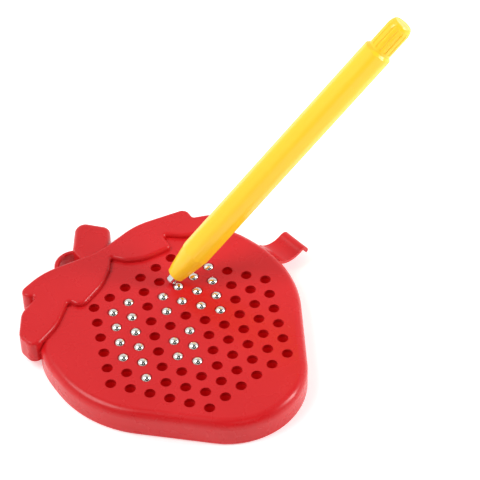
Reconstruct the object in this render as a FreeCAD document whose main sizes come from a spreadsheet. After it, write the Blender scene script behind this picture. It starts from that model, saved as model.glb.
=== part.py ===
import FreeCAD, Part
import math
import os

# A strawberry-shaped magnetic bead drawing board with its magnet pen.
# The board lies flat: +Z is up, the origin is on its back, under the middle bead, and +Y is to the stem.
# All lengths are in millimetres.

DOC = FreeCAD.newDocument("bead_drawing_board")
VECTOR = FreeCAD.Vector
UP = VECTOR(0, 0, 1)

SIZES = [
    ("bead_pitch", 8.0, "centre to centre of neighbouring beads"),
    ("rows_each_side", 5, "rows of holes on each side of the middle row"),
    ("bead_radius", 2.25, "steel bead"),
    ("bead_proud", 1.077, "raised bead above the face"),
    ("bead_travel", 5.8, "way from a raised bead to a lowered one"),
    ("mouth_radius", 2.18, "hole at the face, smaller than the bead"),
    ("mouth_land", 0.25, "straight part of the mouth"),
    ("cone_depth", 0.85, "widening below the mouth"),
    ("bore_radius", 2.5, "channel that a bead runs in"),
    ("face_height", 12.0, "face above the resting plane"),
    ("skin", 1.6, "thickness of the face"),
    ("wall", 2.2, "thickness of the side wall"),
    ("edge_round", 3.6, "rounding of the face's edge"),
    ("cover_thickness", 2.6, "back cover"),
    ("foot_bevel", 0.5, "bevel round the case's foot"),
    ("cover_edge", 0.6, "rounding of the cover's outer edge"),
    ("sheet_thickness", 0.6, "grip sheet under the face"),
    ("guide_radius", 45.0, "corner of the guide block's hexagon before rounding"),
    ("guide_corner", 6.0, "rounding of the guide block's corners"),
    ("leaf_height", 14.2, "top of the leaves"),
    ("leaf_base", 4.0, "underside of the overhanging leaves"),
    ("leaf_round", 1.3, "rounding of the leaves' upper edge"),
    ("stem_height", 13.2, "top of the stem"),
    ("stem_base", 3.0, "underside of the stem"),
    ("stem_round", 2.8, "rounding of the stem's upper edge"),
    ("loop_radius", 7.3, "middle of the loop's band"),
    ("loop_band", 2.1, "band thickness"),
    ("loop_base", 2.2, "underside of the loop"),
    ("loop_top", 9.0, "upper side of the loop"),
    ("loop_x", -9.2, "middle of the loop"),
    ("loop_y", 60.6, "middle of the loop"),
    ("boss_radius", 3.0, "screw boss"),
    ("pilot_radius", 1.25, "hole in a boss"),
    ("pilot_depth", 6.0, "hole in a boss"),
    ("screw_radius", 1.1, "screw shank"),
    ("screw_length", 6.5, "screw, under its head"),
    ("head_radius", 2.1, "screw head"),
    ("head_height", 1.2, "screw head"),
    ("head_recess", 1.6, "counterbore in the cover"),
    ("clip_x", 60.0, "axis of the pen cradle"),
    ("clip_z", 15.4, "axis of the pen cradle"),
    ("clip_start", 5.5, "end of the cradle nearer the tip"),
    ("clip_length", 12.0, "cradle along the pen"),
    ("clip_radius", 9.9, "middle of the cradle's wall"),
    ("clip_wall", 1.3, "cradle's wall"),
    ("clip_inner_end", -50.0, "where the cradle ends at the case, degrees from straight down"),
    ("lip_radius", 2.2, "rolled lip of the cradle"),
    ("lip_start", 28.0, "where the lip begins, degrees from straight down"),
    ("lip_sweep", 125.0, "how far the lip rolls over, degrees"),
    ("root_x", 48.5, "start of the clip's root inside the case wall"),
    ("root_length", 5.0, "clip's root outwards"),
    ("root_height", 3.4, "clip's root upwards"),
    ("pen_radius", 5.75, "across the flats of the barrel, halved"),
    ("pen_corner", 4.0, "rounding of the barrel's edges"),
    ("nose_radius", 3.5, "small end of the nose"),
    ("nose_length", 14.0, "taper of the nose"),
    ("barrel_length", 112.0, "barrel behind the nose"),
    ("shoulder_length", 1.6, "bevel where the barrel meets the cap"),
    ("cap_radius", 4.75, "end cap"),
    ("cap_length", 13.6, "end cap outside the barrel"),
    ("cap_plug", 10.0, "end cap inside the barrel"),
    ("cap_bevel", 3.0, "narrowing at the end of the cap"),
    ("flute_depth", 0.35, "grip flutes of the cap"),
    ("flute_count", 14, "grip flutes of the cap"),
    ("barrel_bore", 3.9, "hollow of the barrel"),
    ("magnet_radius", 2.0, "pen magnet"),
    ("magnet_proud", 4.0, "pen magnet in front of the nose"),
    ("magnet_length", 12.0, "pen magnet"),
    ("fit_gap", 0.05, "clearance of fitted pieces"),
    ("tip_x", 10.3, "point where the pen meets the face"),
    ("tip_y", 24.4, "point where the pen meets the face"),
    ("pen_lift_gap", 0.25, "pen tip above the face"),
    ("pen_azimuth", -23.3, "heading of the pen, degrees"),
    ("pen_elevation", 48.06, "slope of the pen, degrees"),
]

SHEET = DOC.addObject("Spreadsheet::Sheet", "sizes")
for line, (alias, value, note) in enumerate(SIZES, start=1):
    SHEET.set("A%d" % line, alias)
    SHEET.set("B%d" % line, str(value))
    SHEET.set("C%d" % line, note)
    SHEET.setAlias("B%d" % line, alias)
DOC.recompute()


def size(alias):
    """The value of a cell of the sheet."""
    return float(getattr(SHEET, alias))


# Outlines are corner points joined by straight lines, each corner rounded by an arc: X, Y and radius,
# counter-clockwise from the top of the drawing plane.
OUTLINE = [(0, -72.1, 30.8), (55.4, -2.3, 46.7), (48.6, 43.4, 34.5),
           (0, 59.7, 76.6), (-48.6, 43.4, 34.5), (-55.4, -2.3, 46.7)]
# The calyx is one moulded leaf with five lobes.
LEAF_OUTLINE = [
    (-41.4, 59.7, 3.0), (-33.6, 53.6, 1.0), (-43.6, 50.9, 8.0), (-51.7, 42.0, 5.0), (-51.8, 32.6, 3.4),
    (-37.6, 36.0, 25.0), (-25.8, 43.4, 1.4), (-24.5, 37.2, 3.6), (-10.5, 41.0, 16.0), (-2.6, 45.8, 6.0),
    (1.5, 50.2, 0.8), (4.8, 44.6, 8.0), (11.0, 40.4, 14.0), (23.3, 37.9, 1.8), (24.8, 45.9, 1.2),
    (31.6, 38.4, 12.0), (53.2, 28.6, 2.2), (49.6, 39.8, 14.0), (40.6, 44.8, 1.2), (41.6, 50.6, 3.2),
    (20.0, 57.6, 30.0), (0.0, 56.0, 30.0), (-24.5, 62.4, 30.0)]
STEM_OUTLINE = [(-8.0, 53.5, 0.4), (3.8, 53.5, 0.4), (13.0, 64.8, 3.4), (4.6, 77.0, 4.4), (-6.2, 65.6, 4.6)]
SCREW_PLACES = [(0, -44.8), (42, 22), (-42, 22), (22, 46), (-22, 46)]
# Raised beads, row by row: the row's number counts from the middle row towards the tip, the place counts
# half pitches from the middle of the row.
RAISED = {-4: (-4, -2, 4, 6), -3: (-5, -3, 1, 3, 5, 7), -2: (-6, -4, 0, 2, 4, 6), -1: (-7, -5, 3, 5),
          0: (-6, -2, 0, 4), 1: (-7, -3, -1), 2: (-2,)}


def plane(body, role):
    """One of the body's own origin planes."""
    for feature in body.Origin.OriginFeatures:
        if feature.Role == role:
            return feature
    raise ValueError(role)


def new_body(name):
    return DOC.addObject("PartDesign::Body", name)


def new_sketch(body, name, role="XY_Plane", height=None):
    """A sketch on one of the body's planes, raised along the plane's normal by a cell of the sheet."""
    sketch = body.newObject("Sketcher::SketchObject", name)
    sketch.AttachmentSupport = [(plane(body, role), "")]
    sketch.MapMode = "FlatFace"
    if height is not None:
        sketch.setExpression("AttachmentOffset.Base.z", "sizes." + height)
    return sketch


def add_pad(body, name, sketch, length):
    """Extrude a sketch; the length is an expression on the sheet."""
    pad = body.newObject("PartDesign::Pad", name)
    pad.Profile = sketch
    pad.setExpression("Length", length)
    DOC.recompute()
    return pad


def add_turning(body, name, sketch, axis="V_Axis"):
    """Revolve a sketch round one of its own axes."""
    turning = body.newObject("PartDesign::Revolution", name)
    turning.Profile = sketch
    turning.ReferenceAxis = (sketch, [axis])
    turning.Angle = 360.0
    DOC.recompute()
    return turning


def add_fillet(body, name, feature, edges, radius):
    """Round some edges of the body's last feature; the radius is an expression on the sheet."""
    fillet = body.newObject("PartDesign::Fillet", name)
    fillet.Base = (feature, edges)
    fillet.setExpression("Radius", radius)
    DOC.recompute()
    return fillet


def add_chamfer(body, name, feature, edges, size_cell):
    chamfer = body.newObject("PartDesign::Chamfer", name)
    chamfer.Base = (feature, edges)
    chamfer.setExpression("Size", size_cell)
    DOC.recompute()
    return chamfer


def level_edges(feature, height):
    """Names of the feature's edges that lie flat at a height."""
    names = []
    for number, edge in enumerate(feature.Shape.Edges, start=1):
        box = edge.BoundBox
        if abs(box.ZMin - height) < 0.02 and abs(box.ZMax - height) < 0.02:
            names.append("Edge%d" % number)
    return names


def spline(points):
    """A smooth curve through points in a sketch's plane."""
    curve = Part.BSplineCurve()
    curve.interpolate([VECTOR(x, y, 0) for x, y in points])
    return curve


def rounded_corner(before, corner, after, inset):
    """Start, middle and end of the arc at a corner, moved inwards from a counter-clockwise outline."""
    place = VECTOR(corner[0], corner[1], 0)
    back = (VECTOR(before[0], before[1], 0) - place).normalize()
    ahead = (VECTOR(after[0], after[1], 0) - place).normalize()
    half = back.getAngle(ahead) / 2
    turns_left = ahead.cross(back).z > 0
    radius = corner[2] - inset if turns_left else corner[2] + inset
    shift = inset if turns_left else -inset
    bisector = (back + ahead).normalize()
    place = place + bisector * (shift / math.sin(half))
    reach = radius / math.tan(half)
    centre = place + bisector * (radius / math.sin(half))
    return place + back * reach, centre - bisector * radius, place + ahead * reach


def draw_outline(sketch, corners, inset=0.0):
    """A closed outline of lines and tangent arcs."""
    arcs = []
    for number, corner in enumerate(corners):
        following = corners[(number + 1) % len(corners)]
        arcs.append(rounded_corner(corners[number - 1], corner, following, inset))
    for arc, following in zip(arcs, arcs[1:] + arcs[:1]):
        sketch.addGeometry(Part.Arc(*arc), False)
        sketch.addGeometry(Part.LineSegment(arc[2], following[0]), False)


def draw_polygon(sketch, points):
    """A closed outline of straight lines."""
    for start, end in zip(points, points[1:] + points[:1]):
        sketch.addGeometry(Part.LineSegment(VECTOR(*start, 0), VECTOR(*end, 0)), False)


def draw_rounded_polygon(sketch, sides, flat_distance, corner, turn=0.0):
    """A regular polygon with rounded corners, given by the distance of its flats."""
    half = math.pi / sides
    reach = (flat_distance - corner) / math.cos(half)
    for number in range(sides):
        heading = turn + 2 * half * number
        centre = VECTOR(reach * math.cos(heading), reach * math.sin(heading), 0)
        circle = Part.Circle(centre, UP, corner)
        sketch.addGeometry(Part.ArcOfCircle(circle, heading - half, heading + half), False)
        following = heading + 2 * half
        next_centre = VECTOR(reach * math.cos(following), reach * math.sin(following), 0)
        outward = VECTOR(math.cos(heading + half), math.sin(heading + half), 0) * corner
        sketch.addGeometry(Part.LineSegment(centre + outward, next_centre + outward), False)


def bead_places():
    """Row number, place number and X, Y of every hole of the hexagonal array."""
    rows = int(size("rows_each_side"))
    pitch = size("bead_pitch")
    places = []
    for row in range(-rows, rows + 1):
        reach = 2 * rows - abs(row)
        for place in range(-reach, reach + 1, 2):
            places.append((row, place, place / 2 * pitch, -row * pitch * math.sqrt(3) / 2))
    return places


def turned(profile):
    """A solid turned from a profile of radius and height round the Z axis."""
    points = [VECTOR(radius, 0, height) for radius, height in profile]
    face = Part.Face(Part.makePolygon(points + points[:1]))
    return face.revolve(VECTOR(0, 0, 0), UP, 360)


def scatter(name, solid, places):
    """Copies of one solid at every place, kept together as a cutting tool."""
    copies = []
    for x, y in places:
        copy = solid.copy()
        copy.translate(VECTOR(x, y, 0))
        copies.append(copy)
    tool = DOC.addObject("Part::Feature", name)
    tool.Shape = Part.makeCompound(copies)
    return tool


def part_cut(name, base, tool):
    cut = DOC.addObject("Part::Cut", name)
    cut.Base = base
    cut.Tool = tool
    DOC.recompute()
    return cut


def part_fuse(name, shapes):
    fuse = DOC.addObject("Part::MultiFuse", name)
    fuse.Shapes = shapes
    DOC.recompute()
    return fuse


NODES = []


def keep(node, label):
    """Name a sub-part and put it on the list of what is written."""
    node.Label = label
    NODES.append(node)
    return node


# ---- cutting tools of the hole array -------------------------------------------------------------------
HOLES = [(x, y) for row, place, x, y in bead_places()]
FACE = size("face_height")
MOUTH = size("mouth_radius")
BORE = size("bore_radius")
LAND_END = FACE - size("mouth_land")
CONE_END = LAND_END - size("cone_depth")
OVERRUN = 1.0


def make_mouth_tool():
    """Narrow mouth at the face, cone that stops a bead, and the channel below."""
    low = size("cover_thickness") - OVERRUN
    profile = [(0, low), (BORE, low), (BORE, CONE_END), (MOUTH, LAND_END), (MOUTH, FACE + OVERRUN),
               (0, FACE + OVERRUN)]
    return scatter("mouth_tool", turned(profile), HOLES)


# ---- case ------------------------------------------------------------------------------------------------
def make_case_blank():
    """The closed outer form of the case: the berry's slab with the leaf on top."""
    body = new_body("case_blank")
    outline = new_sketch(body, "case_outline")
    draw_outline(outline, OUTLINE)
    slab = add_pad(body, "case_slab", outline, "sizes.face_height")
    rounded = add_fillet(body, "case_edge", slab, level_edges(slab, FACE), "sizes.edge_round")
    add_chamfer(body, "case_foot", rounded, level_edges(rounded, 0), "sizes.foot_bevel")
    leaf = new_sketch(body, "leaf_outline", height="leaf_base")
    draw_outline(leaf, LEAF_OUTLINE)
    raised = add_pad(body, "leaf", leaf, "sizes.leaf_height - sizes.leaf_base")
    add_fillet(body, "leaf_edge", raised, level_edges(raised, size("leaf_height")), "sizes.leaf_round")
    return body


def make_case_hollow():
    """The space inside the case, with the screw bosses left standing."""
    body = new_body("case_hollow")
    outline = new_sketch(body, "hollow_outline")
    draw_outline(outline, OUTLINE, size("wall"))
    add_pad(body, "hollow_space", outline, "sizes.face_height - sizes.skin")
    return body


def make_bosses():
    """Five posts under the face, each with a blind hole for a screw."""
    foot = size("cover_thickness")
    top = FACE - size("skin") + 0.1
    blind_end = foot + size("pilot_depth")
    pilot = size("pilot_radius")
    post = turned([(pilot, foot), (size("boss_radius"), foot), (size("boss_radius"), top), (0, top),
                   (0, blind_end), (pilot, blind_end)])
    return scatter("bosses", post, SCREW_PLACES)


MOUTH_TOOL = make_mouth_tool()
CASE_BLANK = make_case_blank()
CASE_HOLLOW = make_case_hollow()
CASE_SHELL = part_cut("case_shell", CASE_BLANK, CASE_HOLLOW)
PIERCED = part_cut("pierced_shell", CASE_SHELL, MOUTH_TOOL)
keep(part_fuse("case_with_bosses", [PIERCED, make_bosses()]), "top_case")


# ---- inside ----------------------------------------------------------------------------------------------
def make_hexagon(name, base_height, length):
    """A rounded hexagon over the whole hole array."""
    body = new_body(name)
    sketch = new_sketch(body, name + "_outline")
    sketch.setExpression("AttachmentOffset.Base.z", base_height)
    flats = size("guide_radius") * math.cos(math.pi / 6)
    draw_rounded_polygon(sketch, 6, flats, size("guide_corner"))
    add_pad(body, name + "_pad", sketch, length)
    return body


GUIDE_BLANK = make_hexagon("guide_blank", "sizes.cover_thickness",
                           "sizes.face_height - sizes.skin - sizes.sheet_thickness - sizes.cover_thickness")
keep(part_cut("guide_cut", GUIDE_BLANK, MOUTH_TOOL), "bead_guide")
SHEET_BLANK = make_hexagon("sheet_blank", "sizes.face_height - sizes.skin - sizes.sheet_thickness",
                           "sizes.sheet_thickness")
keep(part_cut("sheet_cut", SHEET_BLANK, MOUTH_TOOL), "grip_sheet")


def make_cover_blank():
    """The flat back cover, let into the case so that the wall runs past it."""
    body = new_body("cover_blank")
    sketch = new_sketch(body, "cover_outline")
    draw_outline(sketch, OUTLINE, size("wall") + size("fit_gap"))
    plate = add_pad(body, "cover_plate", sketch, "sizes.cover_thickness")
    add_fillet(body, "cover_rounding", plate, level_edges(plate, 0), "sizes.cover_edge")
    return body


def make_screw_holes():
    """Counterbored holes through the cover."""
    recess = size("head_recess")
    profile = [(0, -OVERRUN), (size("head_radius") + 0.25, -OVERRUN), (size("head_radius") + 0.25, recess),
               (size("pilot_radius"), recess), (size("pilot_radius"), size("cover_thickness") + OVERRUN),
               (0, size("cover_thickness") + OVERRUN)]
    return scatter("screw_holes", turned(profile), SCREW_PLACES)


keep(part_cut("cover_cut", make_cover_blank(), make_screw_holes()), "back_cover")


def make_screws():
    """Five round-headed screws with a cross recess, their heads sunk in the cover."""
    seat = size("head_recess")
    low = seat - size("head_height")
    head = size("head_radius")
    shank = size("screw_radius")
    point = seat + size("screw_length")
    solid = turned([(0, low), (head - 0.5, low), (head, low + 0.5), (head, seat), (shank, seat),
                    (shank, point - 1.2), (0.3, point), (0, point)])
    slot = Part.makeBox(2.2, 0.5, 0.7, VECTOR(-1.1, -0.25, low - 0.1))
    cross = slot.fuse(slot.rotated(VECTOR(0, 0, 0), UP, 90))
    return scatter("screw_group", solid.cut(cross), SCREW_PLACES)


keep(make_screws(), "case_screws")


# ---- stem, hanging loop and pen clip ---------------------------------------------------------------------
def make_stem_blank():
    body = new_body("stem_blank")
    sketch = new_sketch(body, "stem_outline", height="stem_base")
    draw_outline(sketch, STEM_OUTLINE)
    pad = add_pad(body, "stem_pad", sketch, "sizes.stem_height - sizes.stem_base")
    add_fillet(body, "stem_edge", pad, level_edges(pad, size("stem_height")), "sizes.stem_round")
    return body


def make_loop_blank():
    """A flat ring, a tall band with rounded edges."""
    body = new_body("loop_blank")
    sketch = new_sketch(body, "loop_section", "XZ_Plane")
    inner = size("loop_radius") - size("loop_band") / 2
    outer = size("loop_radius") + size("loop_band") / 2
    low = size("loop_base")
    high = size("loop_top")
    bevel = 0.5
    draw_polygon(sketch, [(inner, low + bevel), (inner + bevel, low), (outer - bevel, low),
                          (outer, low + bevel), (outer, high - bevel), (outer - bevel, high),
                          (inner + bevel, high), (inner, high - bevel)])
    add_turning(body, "loop_ring", sketch)
    body.setExpression("Placement.Base.x", "sizes.loop_x")
    body.setExpression("Placement.Base.y", "sizes.loop_y")
    return body


STEM_BLANK = make_stem_blank()
STEM = keep(part_cut("stem_cut", STEM_BLANK, CASE_BLANK), "stem")
LOOP_BLANK = make_loop_blank()
LOOP_TRIMMED = part_cut("loop_trimmed", LOOP_BLANK, CASE_BLANK)
keep(part_cut("loop_cut", LOOP_TRIMMED, STEM), "hanging_loop")


def make_clip_blank():
    """The pen cradle: part of a tube with a rolled lip on its outer side and a root against the case."""
    body = new_body("clip_blank")
    sketch = new_sketch(body, "clip_section", "XZ_Plane")
    radius = size("clip_radius")
    half = size("clip_wall") / 2
    roll = size("lip_radius")
    centre = VECTOR(size("clip_x"), size("clip_z"), 0)
    inner_end = math.radians(size("clip_inner_end"))
    lip_start = math.radians(size("lip_start"))

    def along(angle):
        """Unit vector from the axis, counted from straight down towards the outside."""
        return VECTOR(math.sin(angle), -math.cos(angle), 0)

    def arc(middle, distance, first, last):
        """An arc through its two ends and its half-way point."""
        halfway = (first + last) / 2
        return Part.Arc(middle + along(first) * distance, middle + along(halfway) * distance,
                        middle + along(last) * distance)

    lip_centre = centre + along(lip_start) * (radius + roll)
    lip_first = lip_start + math.pi
    lip_last = lip_first - math.radians(size("lip_sweep"))
    edges = [arc(centre, radius - half, inner_end, lip_start),
             arc(lip_centre, roll + half, lip_first, lip_last),
             Part.Arc(lip_centre + along(lip_last) * (roll + half),
                      lip_centre + along(lip_last) * roll + along(lip_last - math.pi / 2) * half,
                      lip_centre + along(lip_last) * (roll - half)),
             arc(lip_centre, roll - half, lip_last, lip_first),
             arc(centre, radius + half, lip_start, inner_end)]
    last_point = centre + along(inner_end) * (radius + half)
    first_point = centre + along(inner_end) * (radius - half)
    edges.append(Part.LineSegment(last_point, first_point))
    for edge in edges:
        sketch.addGeometry(edge, False)
    pad = add_pad(body, "clip_pad", sketch, "sizes.clip_length")
    pad.Reversed = True
    body.setExpression("Placement.Base.y", "sizes.clip_start")
    DOC.recompute()
    return body


def make_clip_root():
    """The block that joins the cradle to the case wall, hollowed for the pen."""
    block = DOC.addObject("Part::Box", "clip_root_block")
    block.setExpression("Length", "sizes.root_length")
    block.setExpression("Width", "sizes.clip_length")
    block.setExpression("Height", "sizes.root_height")
    block.setExpression("Placement.Base.x", "sizes.root_x")
    block.setExpression("Placement.Base.y", "sizes.clip_start")
    block.setExpression("Placement.Base.z", "sizes.clip_z - sizes.clip_radius - sizes.clip_wall / 2 + 0.5")
    space = DOC.addObject("Part::Cylinder", "clip_root_space")
    space.setExpression("Radius", "sizes.clip_radius")
    space.setExpression("Height", "sizes.clip_length + 2")
    space.Placement = FreeCAD.Placement(VECTOR(0, 0, 0), FreeCAD.Rotation(VECTOR(1, 0, 0), -90))
    space.setExpression("Placement.Base.x", "sizes.clip_x")
    space.setExpression("Placement.Base.y", "sizes.clip_start - 1")
    space.setExpression("Placement.Base.z", "sizes.clip_z")
    return part_cut("clip_root", block, space)


CLIP_WHOLE = part_fuse("clip_whole", [make_clip_blank(), make_clip_root()])
keep(part_cut("clip_cut", CLIP_WHOLE, CASE_BLANK), "pen_clip")


# ---- beads -----------------------------------------------------------------------------------------------
RAISED_HEIGHT = "(sizes.face_height + sizes.bead_proud - sizes.bead_radius)"
LOWERED_HEIGHT = "(%s - sizes.bead_travel)" % RAISED_HEIGHT


def make_bead(name, row, place, height):
    """One steel bead in its hole."""
    bead = DOC.addObject("Part::Sphere", name)
    bead.setExpression("Radius", "sizes.bead_radius")
    bead.setExpression("Placement.Base.x", "%g * sizes.bead_pitch" % (place / 2))
    bead.setExpression("Placement.Base.y", "%d * sizes.bead_pitch * sqrt(3) / 2" % -row)
    bead.setExpression("Placement.Base.z", height)
    return bead


def make_beads():
    """Raised beads one by one, and the lowered beads of each row together."""
    rows = int(size("rows_each_side"))
    number = 0
    for row in range(-rows, rows + 1):
        lowered = []
        for bead_row, place, x, y in bead_places():
            if bead_row != row:
                continue
            if place in RAISED.get(row, ()):
                number += 1
                keep(make_bead("raised_%02d" % number, row, place, RAISED_HEIGHT), "bead_%02d" % number)
            else:
                name = "lowered_%d_%d" % (row + rows, place + 2 * rows)
                lowered.append(make_bead(name, row, place, LOWERED_HEIGHT))
        group = DOC.addObject("Part::Compound", "row_%02d" % (row + rows + 1))
        group.Links = lowered
        keep(group, "low_beads_row_%02d" % (row + rows + 1))
    DOC.recompute()


make_beads()


# ---- pen -------------------------------------------------------------------------------------------------
# Each piece is made upright, with the magnet's face at the origin, and then laid along the pen's slope.
NOSE_START = size("magnet_proud")
NOSE_END = NOSE_START + size("nose_length")
BARREL_END = NOSE_END + size("barrel_length")


def pen_place():
    """Tilt from upright to the pen's slope and heading."""
    heading = FreeCAD.Rotation(UP, size("pen_azimuth"))
    slope = FreeCAD.Rotation(VECTOR(0, 1, 0), 90 - size("pen_elevation"))
    tilt = math.radians(size("pen_elevation"))
    lift = FACE + size("pen_lift_gap") + (size("magnet_radius") - 1.0) * math.cos(tilt)
    return FreeCAD.Placement(VECTOR(size("tip_x"), size("tip_y"), lift), heading.multiply(slope))


def make_barrel():
    """An eight-sided barrel with soft edges, a turned nose and shoulder, and bores for magnet and cap."""
    prism_body = new_body("barrel_prism")
    outline = new_sketch(prism_body, "barrel_outline", height="magnet_proud")
    draw_rounded_polygon(outline, 8, size("pen_radius"), size("pen_corner"))
    add_pad(prism_body, "barrel_pad", outline, "sizes.nose_length + sizes.barrel_length")

    turning_body = new_body("barrel_turning")
    profile = new_sketch(turning_body, "barrel_profile", "XZ_Plane")
    widest = size("pen_radius") + 0.6
    shoulder = size("shoulder_length")
    nose = [(size("nose_radius"), NOSE_START + 0.4), (4.45, NOSE_START + 5.0), (5.3, NOSE_START + 10.0),
            (widest, NOSE_END + 2.0)]
    corners = [(widest, NOSE_END + 2.0), (widest, BARREL_END - shoulder),
               (size("cap_radius") + 0.1, BARREL_END), (0, BARREL_END), (0, NOSE_START),
               (size("nose_radius") - 0.4, NOSE_START), (size("nose_radius"), NOSE_START + 0.4)]
    profile.addGeometry(spline(nose), False)
    for start, end in zip(corners, corners[1:]):
        profile.addGeometry(Part.LineSegment(VECTOR(*start, 0), VECTOR(*end, 0)), False)
    add_turning(turning_body, "barrel_revolve", profile)

    common = DOC.addObject("Part::MultiCommon", "barrel_solid")
    common.Shapes = [prism_body, turning_body]
    DOC.recompute()

    bore = DOC.addObject("Part::Feature", "barrel_bores")
    seat = size("magnet_radius") + size("fit_gap")
    seat_end = size("magnet_length") + size("fit_gap")
    start = NOSE_START - OVERRUN
    end = BARREL_END + OVERRUN
    bore.Shape = turned([(0, start), (seat, start), (seat, seat_end), (1.2, seat_end),
                         (1.2, seat_end + 1.5), (size("barrel_bore"), seat_end + 8.0),
                         (size("barrel_bore"), end), (0, end)])
    return part_cut("barrel_cut", common, bore)


def make_magnet():
    """A round bar with a domed face."""
    body = new_body("magnet_body")
    profile = new_sketch(body, "magnet_profile", "XZ_Plane")
    radius = size("magnet_radius")
    dome = [(0, 0), (1.0, 0.16), (1.7, 0.62), (radius, 1.3)]
    profile.addGeometry(spline(dome), False)
    corners = [(radius, 1.3), (radius, size("magnet_length")), (0, size("magnet_length")), (0, 0)]
    for start, end in zip(corners, corners[1:]):
        profile.addGeometry(Part.LineSegment(VECTOR(*start, 0), VECTOR(*end, 0)), False)
    add_turning(body, "magnet_turning", profile)
    return body


def make_end_cap():
    """A fluted cap with a plug that fits the barrel's bore."""
    body = new_body("end_cap_body")
    profile = new_sketch(body, "cap_profile", "XZ_Plane")
    radius = size("cap_radius")
    end = BARREL_END + size("cap_length")
    plug = size("barrel_bore") - size("fit_gap")
    low = BARREL_END - size("cap_plug")
    draw_polygon(profile, [(0, low), (plug - 0.5, low), (plug, low + 0.5), (plug, BARREL_END),
                           (radius, BARREL_END), (radius, end - size("cap_bevel")),
                           (radius - 0.3, end - 1.4), (radius - 0.75, end - 0.35), (radius - 1.15, end),
                           (0, end)])
    add_turning(body, "cap_turning", profile)

    cutter = new_sketch(body, "flute_outline", "XY_Plane")
    cutter.AttachmentOffset = FreeCAD.Placement(VECTOR(0, 0, BARREL_END + 1.2), FreeCAD.Rotation())
    width = 0.55
    circle = Part.Circle(VECTOR(radius - size("flute_depth") + width, 0, 0), UP, width)
    cutter.addGeometry(circle, False)
    before = body.Shape.Volume
    flute = body.newObject("PartDesign::Pocket", "flute")
    flute.Profile = cutter
    flute.Length = size("cap_length")
    flute.Reversed = True
    DOC.recompute()
    if body.Shape.Volume >= before:
        raise ValueError("the flute cuts nothing")
    pattern = body.newObject("PartDesign::PolarPattern", "flutes")
    pattern.Originals = [flute]
    pattern.Axis = (cutter, ["N_Axis"])
    pattern.Angle = 360
    pattern.setExpression("Occurrences", "sizes.flute_count")
    body.Tip = pattern
    DOC.recompute()
    return body


PEN_PIECES = ((make_barrel, "pen_barrel"), (make_end_cap, "pen_end_cap"), (make_magnet, "pen_magnet"))
for make_piece, label in PEN_PIECES:
    piece = make_piece()
    piece.Placement = pen_place()
    keep(piece, label)


# ---- check and write -------------------------------------------------------------------------------------
def check_document():
    """Stop on any failed object and on any sub-part without a sound solid."""
    for thing in DOC.Objects:
        if "Invalid" in thing.State or "Error" in thing.State:
            raise ValueError("failed object: " + thing.Name)
    for node in NODES:
        if node.Shape.isNull() or not node.Shape.isValid() or not node.Shape.Solids:
            raise ValueError("bad shape: " + node.Label)


def write_parts():
    """One STEP file for each sub-part."""
    os.makedirs("parts", exist_ok=True)
    for node in NODES:
        node.Shape.exportStep("parts/%s.step" % node.Label)
        print("%-18s %2d solid(s) %9.2f mm3" % (node.Label, len(node.Shape.Solids), node.Shape.Volume))


DOC.recompute()
check_document()
write_parts()
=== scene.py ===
import math

import bpy
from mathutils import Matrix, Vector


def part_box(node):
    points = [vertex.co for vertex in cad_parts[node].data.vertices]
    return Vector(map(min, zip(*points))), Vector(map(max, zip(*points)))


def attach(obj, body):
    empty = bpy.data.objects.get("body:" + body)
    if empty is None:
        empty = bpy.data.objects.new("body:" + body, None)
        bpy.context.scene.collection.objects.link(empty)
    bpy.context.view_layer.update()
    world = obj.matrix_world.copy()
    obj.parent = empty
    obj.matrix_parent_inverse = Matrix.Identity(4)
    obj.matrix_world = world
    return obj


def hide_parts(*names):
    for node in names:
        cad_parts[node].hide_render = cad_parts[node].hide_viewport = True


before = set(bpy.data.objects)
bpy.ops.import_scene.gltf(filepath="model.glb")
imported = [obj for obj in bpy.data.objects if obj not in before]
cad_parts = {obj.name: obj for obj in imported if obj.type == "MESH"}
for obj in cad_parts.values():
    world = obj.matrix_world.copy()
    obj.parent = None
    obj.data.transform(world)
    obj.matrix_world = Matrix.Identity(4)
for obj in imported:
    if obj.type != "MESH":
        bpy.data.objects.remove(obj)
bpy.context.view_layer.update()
MM = 0.001

# Most of a noise's values lie between these two.
NOISE_LOW = 0.3
NOISE_HIGH = 0.7

# Noise scales per metre
DRIFT_SCALE = 28.0
SMEAR_SCALE = 90.0
WIPE_SCALE = 400.0

GRAIN_DEPTH = 0.02 * MM
PLASTIC_IOR = 1.49
CASE_SPECULAR = 0.32


# ---- materials -------------------------------------------------------------------------------------------
def new_material(name):
    """A material with its own shader."""
    material = bpy.data.materials.new(name)
    material.use_nodes = True
    return material


def shader_of(material):
    """The shader that carries a material's surface."""
    return material.node_tree.nodes["Principled BSDF"]


def add_node(material, kind):
    return material.node_tree.nodes.new(kind)


def link(material, source, target):
    material.node_tree.links.new(source, target)


def object_place(material):
    """The place on the piece itself, so a pattern keeps still when the piece moves."""
    return add_node(material, "ShaderNodeTexCoord").outputs["Object"]


def noise(material, place, scale, detail):
    node = add_node(material, "ShaderNodeTexNoise")
    node.inputs["Scale"].default_value = scale
    node.inputs["Detail"].default_value = detail
    link(material, place, node.inputs["Vector"])
    return node.outputs["Fac"]


def ramp(material, fac, dark, light):
    """The noise as a drift from a dark colour to a light one."""
    node = add_node(material, "ShaderNodeValToRGB")
    first, last = node.color_ramp.elements
    first.position, first.color = NOISE_LOW, dark
    last.position, last.color = NOISE_HIGH, light
    link(material, fac, node.inputs["Fac"])
    return node.outputs["Color"]


def spread(material, fac, low, high):
    """The noise stretched between two values."""
    node = add_node(material, "ShaderNodeMapRange")
    node.inputs["From Min"].default_value = NOISE_LOW
    node.inputs["From Max"].default_value = NOISE_HIGH
    node.inputs["To Min"].default_value = low
    node.inputs["To Max"].default_value = high
    link(material, fac, node.inputs["Value"])
    return node.outputs["Result"]


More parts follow.
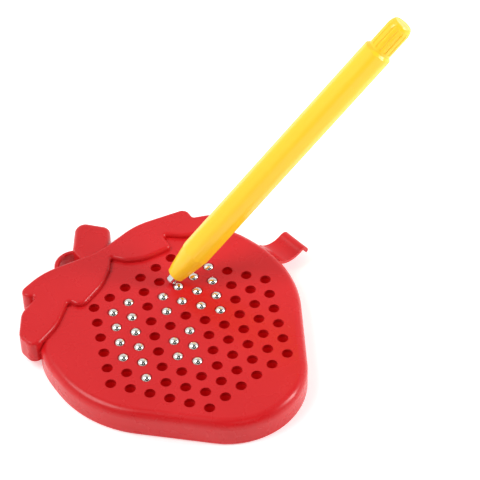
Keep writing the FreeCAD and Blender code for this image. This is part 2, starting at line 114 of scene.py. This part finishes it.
def bump(material, height, strength, distance):
    """A fine relief on the surface."""
    node = add_node(material, "ShaderNodeBump")
    node.inputs["Strength"].default_value = strength
    node.inputs["Distance"].default_value = distance
    link(material, height, node.inputs["Height"])
    link(material, node.outputs["Normal"], shader_of(material).inputs["Normal"])


def moulded_plastic(name, dark, light, rough, texture_mm, bump_strength):
    """Injection-moulded plastic: slow colour drift, finely sparked skin and uneven gloss."""
    material = new_material(name)
    shader = shader_of(material)
    place = object_place(material)
    drift = noise(material, place, DRIFT_SCALE, detail=2.0)
    link(material, ramp(material, drift, dark, light), shader.inputs["Base Color"])
    smear = noise(material, place, SMEAR_SCALE, detail=4.0)
    link(material, spread(material, smear, *rough), shader.inputs["Roughness"])
    grain = noise(material, place, 1.0 / (texture_mm * MM), detail=2.0)
    bump(material, grain, bump_strength, GRAIN_DEPTH)
    shader.inputs["IOR"].default_value = PLASTIC_IOR
    return material


def polished_metal(name, dark, light, rough):
    """Bright metal with faint wiping marks."""
    material = new_material(name)
    shader = shader_of(material)
    place = object_place(material)
    cloud = noise(material, place, WIPE_SCALE, detail=3.0)
    link(material, ramp(material, cloud, dark, light), shader.inputs["Base Color"])
    link(material, spread(material, cloud, *rough), shader.inputs["Roughness"])
    shader.inputs["Metallic"].default_value = 1.0
    return material


CASE_RED = moulded_plastic(
    "case_red",
    dark=(0.61, 0.010, 0.013, 1), light=(0.66, 0.014, 0.018, 1),
    rough=(0.24, 0.31), texture_mm=0.12, bump_strength=0.10)
INNER_RED = moulded_plastic(
    "inner_red",
    dark=(0.56, 0.001, 0.002, 1), light=(0.62, 0.002, 0.003, 1),
    rough=(0.55, 0.65), texture_mm=0.3, bump_strength=0.15)
SHEET_RED = moulded_plastic(
    "sheet_red",
    dark=(0.42, 0.001, 0.002, 1), light=(0.48, 0.002, 0.003, 1),
    rough=(0.7, 0.85), texture_mm=0.3, bump_strength=0.4)
PEN_YELLOW = moulded_plastic(
    "pen_yellow",
    dark=(0.96, 0.58, 0.020, 1), light=(0.99, 0.61, 0.028, 1),
    rough=(0.18, 0.25), texture_mm=0.25, bump_strength=0.08)
BEAD_STEEL = polished_metal(
    "bead_steel",
    dark=(0.79, 0.78, 0.72, 1), light=(0.87, 0.86, 0.80, 1), rough=(0.02, 0.05))
MAGNET_PLATE = polished_metal(
    "magnet_plate",
    dark=(0.80, 0.80, 0.82, 1), light=(0.88, 0.88, 0.90, 1), rough=(0.03, 0.06))
SCREW_ZINC = polished_metal(
    "screw_zinc",
    dark=(0.55, 0.56, 0.58, 1), light=(0.68, 0.68, 0.70, 1), rough=(0.22, 0.38))


def paint_glow(material, colour, strength):
    """Painted glow: the plastic gives off a little light of its own, standing in for light that would pass
    through it.
    """
    shader = shader_of(material)
    shader.inputs["Emission Color"].default_value = colour
    shader.inputs["Emission Strength"].default_value = strength


# Painted glow on the bead guide, the grip sheet and the pen. The emission lifts the dark hole interiors and
# brightens the pen's shaded side.
paint_glow(INNER_RED, (0.55, 0.001, 0.003, 1), strength=0.22)
paint_glow(SHEET_RED, (0.50, 0.001, 0.003, 1), strength=0.18)
paint_glow(PEN_YELLOW, (1.0, 0.58, 0.02, 1), strength=0.16)
shader_of(CASE_RED).inputs["Specular IOR Level"].default_value = CASE_SPECULAR

# Nodes that aren't named here are beads.
NODE_FINISH = {
    "top_case": CASE_RED,
    "stem": CASE_RED,
    "hanging_loop": CASE_RED,
    "pen_clip": CASE_RED,
    "back_cover": CASE_RED,
    "bead_guide": INNER_RED,
    "grip_sheet": SHEET_RED,
    "case_screws": SCREW_ZINC,
    "pen_barrel": PEN_YELLOW,
    "pen_end_cap": PEN_YELLOW,
    "pen_magnet": MAGNET_PLATE,
}


def finish_cad_nodes():
    """Every CAD node takes its material."""
    for name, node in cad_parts.items():
        material = NODE_FINISH.get(name, BEAD_STEEL)
        if node.material_slots:
            for slot in node.material_slots:
                slot.material = material
        else:
            node.data.materials.append(material)


finish_cad_nodes()


# ---- raised beads ----------------------------------------------------------------------------------------
BEAD_SIZE = 4.5 * MM
BEAD_CUTS = 11


def model_bead():
    """A ball drawn out of a cube: even faces all round, without poles."""
    bpy.ops.object.select_all(action="DESELECT")
    bpy.ops.mesh.primitive_cube_add(size=BEAD_SIZE, location=(0, 0, 0))
    ball = bpy.context.object
    bpy.ops.object.mode_set(mode="EDIT")
    bpy.ops.mesh.select_all(action="SELECT")
    bpy.ops.mesh.subdivide(number_cuts=BEAD_CUTS)
    bpy.ops.transform.tosphere(value=1.0)
    bpy.ops.mesh.normals_make_consistent(inside=False)
    bpy.ops.object.mode_set(mode="OBJECT")
    bpy.ops.object.shade_smooth()
    ball.data.materials.append(BEAD_STEEL)
    return ball


def fit_ball(ball, low, high):
    """Scale and move a ball into a box, then apply its place."""
    bpy.ops.object.select_all(action="DESELECT")
    ball.select_set(True)
    bpy.context.view_layer.objects.active = ball
    ball.scale = [(far - near) / across for near, far, across in zip(low, high, ball.dimensions)]
    ball.location = [(near + far) / 2 for near, far in zip(low, high)]
    bpy.ops.object.transform_apply(location=True, rotation=True, scale=True)


def add_beads():
    """One ball for each raised bead, all from the same form."""
    form = model_bead()
    raised = [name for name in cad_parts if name.startswith("bead_") and name != "bead_guide"]
    for name in sorted(raised):
        ball = form.copy()
        ball.data = form.data.copy()
        ball.name = "steel_" + name
        bpy.context.collection.objects.link(ball)
        low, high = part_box(name)
        fit_ball(ball, low, high)
        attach(ball, name)
        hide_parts(name)
    bpy.data.objects.remove(form)


add_beads()


# ---- studio ----------------------------------------------------------------------------------------------
WHITE = (1, 1, 1, 1)
FLOOR_SIZE = 8.0
FLOOR_DROP = 0.0002
FLOOR_GREY = 0.90
FLOOR_ROUGHNESS = 0.9
FLOOR_SPECULAR = 0.1
FLOOR_GLOW = 0.40

# The room's brightness: how nearly a direction points at the dark corner, where 1 is straight at it, and
# the grey seen there
DARK_CORNER = (-0.16, -0.56, 0.81)
ROOM_SHADES = (
    (0.45, 0.80), (0.50, 0.03), (0.60, 0.03), (0.64, 0.95),
    (0.74, 0.95), (0.78, 0.01), (0.96, 0.01), (0.99, 0.95))

BOARD_MIDDLE = (0, 0, 0)
KEY_PLACE = (-0.55, 0.35, 0.95)
EDGE_PLACE = (0.62, -0.55, 0.45)

CAMERA_LENS = 157.8
CAMERA_SENSOR = 36.0
CAMERA_PLACE = (-0.34107, -0.42655, 0.62851)
CAMERA_TURN = (43.932, 1.004, -41.848)


def add_floor():
    """A wide white table top, lit from below like a light table."""
    bpy.ops.object.select_all(action="DESELECT")
    bpy.ops.mesh.primitive_plane_add(size=FLOOR_SIZE, location=(0, 0, -FLOOR_DROP))
    floor = bpy.context.object
    floor.name = "floor"
    material = new_material("floor_white")
    shader = shader_of(material)
    shader.inputs["Base Color"].default_value = (FLOOR_GREY, FLOOR_GREY, FLOOR_GREY, 1)
    shader.inputs["Roughness"].default_value = FLOOR_ROUGHNESS
    shader.inputs["Specular IOR Level"].default_value = FLOOR_SPECULAR
    shader.inputs["Emission Color"].default_value = WHITE
    shader.inputs["Emission Strength"].default_value = FLOOR_GLOW
    floor.data.materials.append(material)


def add_softbox(name, place, target, width, height, power):
    """A rectangular studio light, turned to a point."""
    light = bpy.data.lights.new(name, "AREA")
    light.shape = "RECTANGLE"
    light.size = width
    light.size_y = height
    light.energy = power
    lamp = bpy.data.objects.new(name, light)
    bpy.context.collection.objects.link(lamp)
    lamp.location = place
    aim = [end - start for start, end in zip(place, target)]
    lamp.rotation_euler = Vector(aim).to_track_quat("-Z", "Y").to_euler()


def add_world():
    """A white room with a dark corner where nothing is lit, which polished steel mirrors."""
    world = bpy.data.worlds.new("studio")
    bpy.context.scene.world = world
    world.use_nodes = True
    nodes = world.node_tree.nodes
    links = world.node_tree.links
    background = nodes["Background"]
    place = nodes.new("ShaderNodeTexCoord")
    toward = nodes.new("ShaderNodeVectorMath")
    toward.operation = "DOT_PRODUCT"
    toward.inputs[1].default_value = Vector(DARK_CORNER).normalized()
    links.new(place.outputs["Generated"], toward.inputs[0])
    shade = nodes.new("ShaderNodeValToRGB")
    shades = shade.color_ramp.elements
    shades[0].position = ROOM_SHADES[0][0]
    shades[1].position = ROOM_SHADES[-1][0]
    for where, _ in ROOM_SHADES[1:-1]:
        shades.new(where)
    for element, (_, grey) in zip(shades, ROOM_SHADES):
        element.color = (grey, grey, grey, 1)
    links.new(toward.outputs["Value"], shade.inputs["Fac"])
    # What is seen straight past the object is plain white. Sockets 6, 7 and 2 are the mix's colours.
    path = nodes.new("ShaderNodeLightPath")
    choose = nodes.new("ShaderNodeMix")
    choose.data_type = "RGBA"
    links.new(path.outputs["Is Camera Ray"], choose.inputs["Factor"])
    links.new(shade.outputs["Color"], choose.inputs[6])
    choose.inputs[7].default_value = WHITE
    links.new(choose.outputs[2], background.inputs["Color"])


def add_camera():
    """Long lens, from the lower left of the board and well above it."""
    data = bpy.data.cameras.new("camera")
    data.lens = CAMERA_LENS
    data.sensor_width = CAMERA_SENSOR
    camera = bpy.data.objects.new("camera", data)
    bpy.context.collection.objects.link(camera)
    camera.location = CAMERA_PLACE
    camera.rotation_euler = [math.radians(turn) for turn in CAMERA_TURN]
    bpy.context.scene.camera = camera


add_floor()
add_world()
add_softbox("key", KEY_PLACE, BOARD_MIDDLE, width=0.6, height=0.6, power=7.0)
add_softbox("edge_light", EDGE_PLACE, BOARD_MIDDLE, width=0.16, height=0.4, power=4.5)
add_camera()
bpy.context.scene.view_settings.view_transform = "Standard"
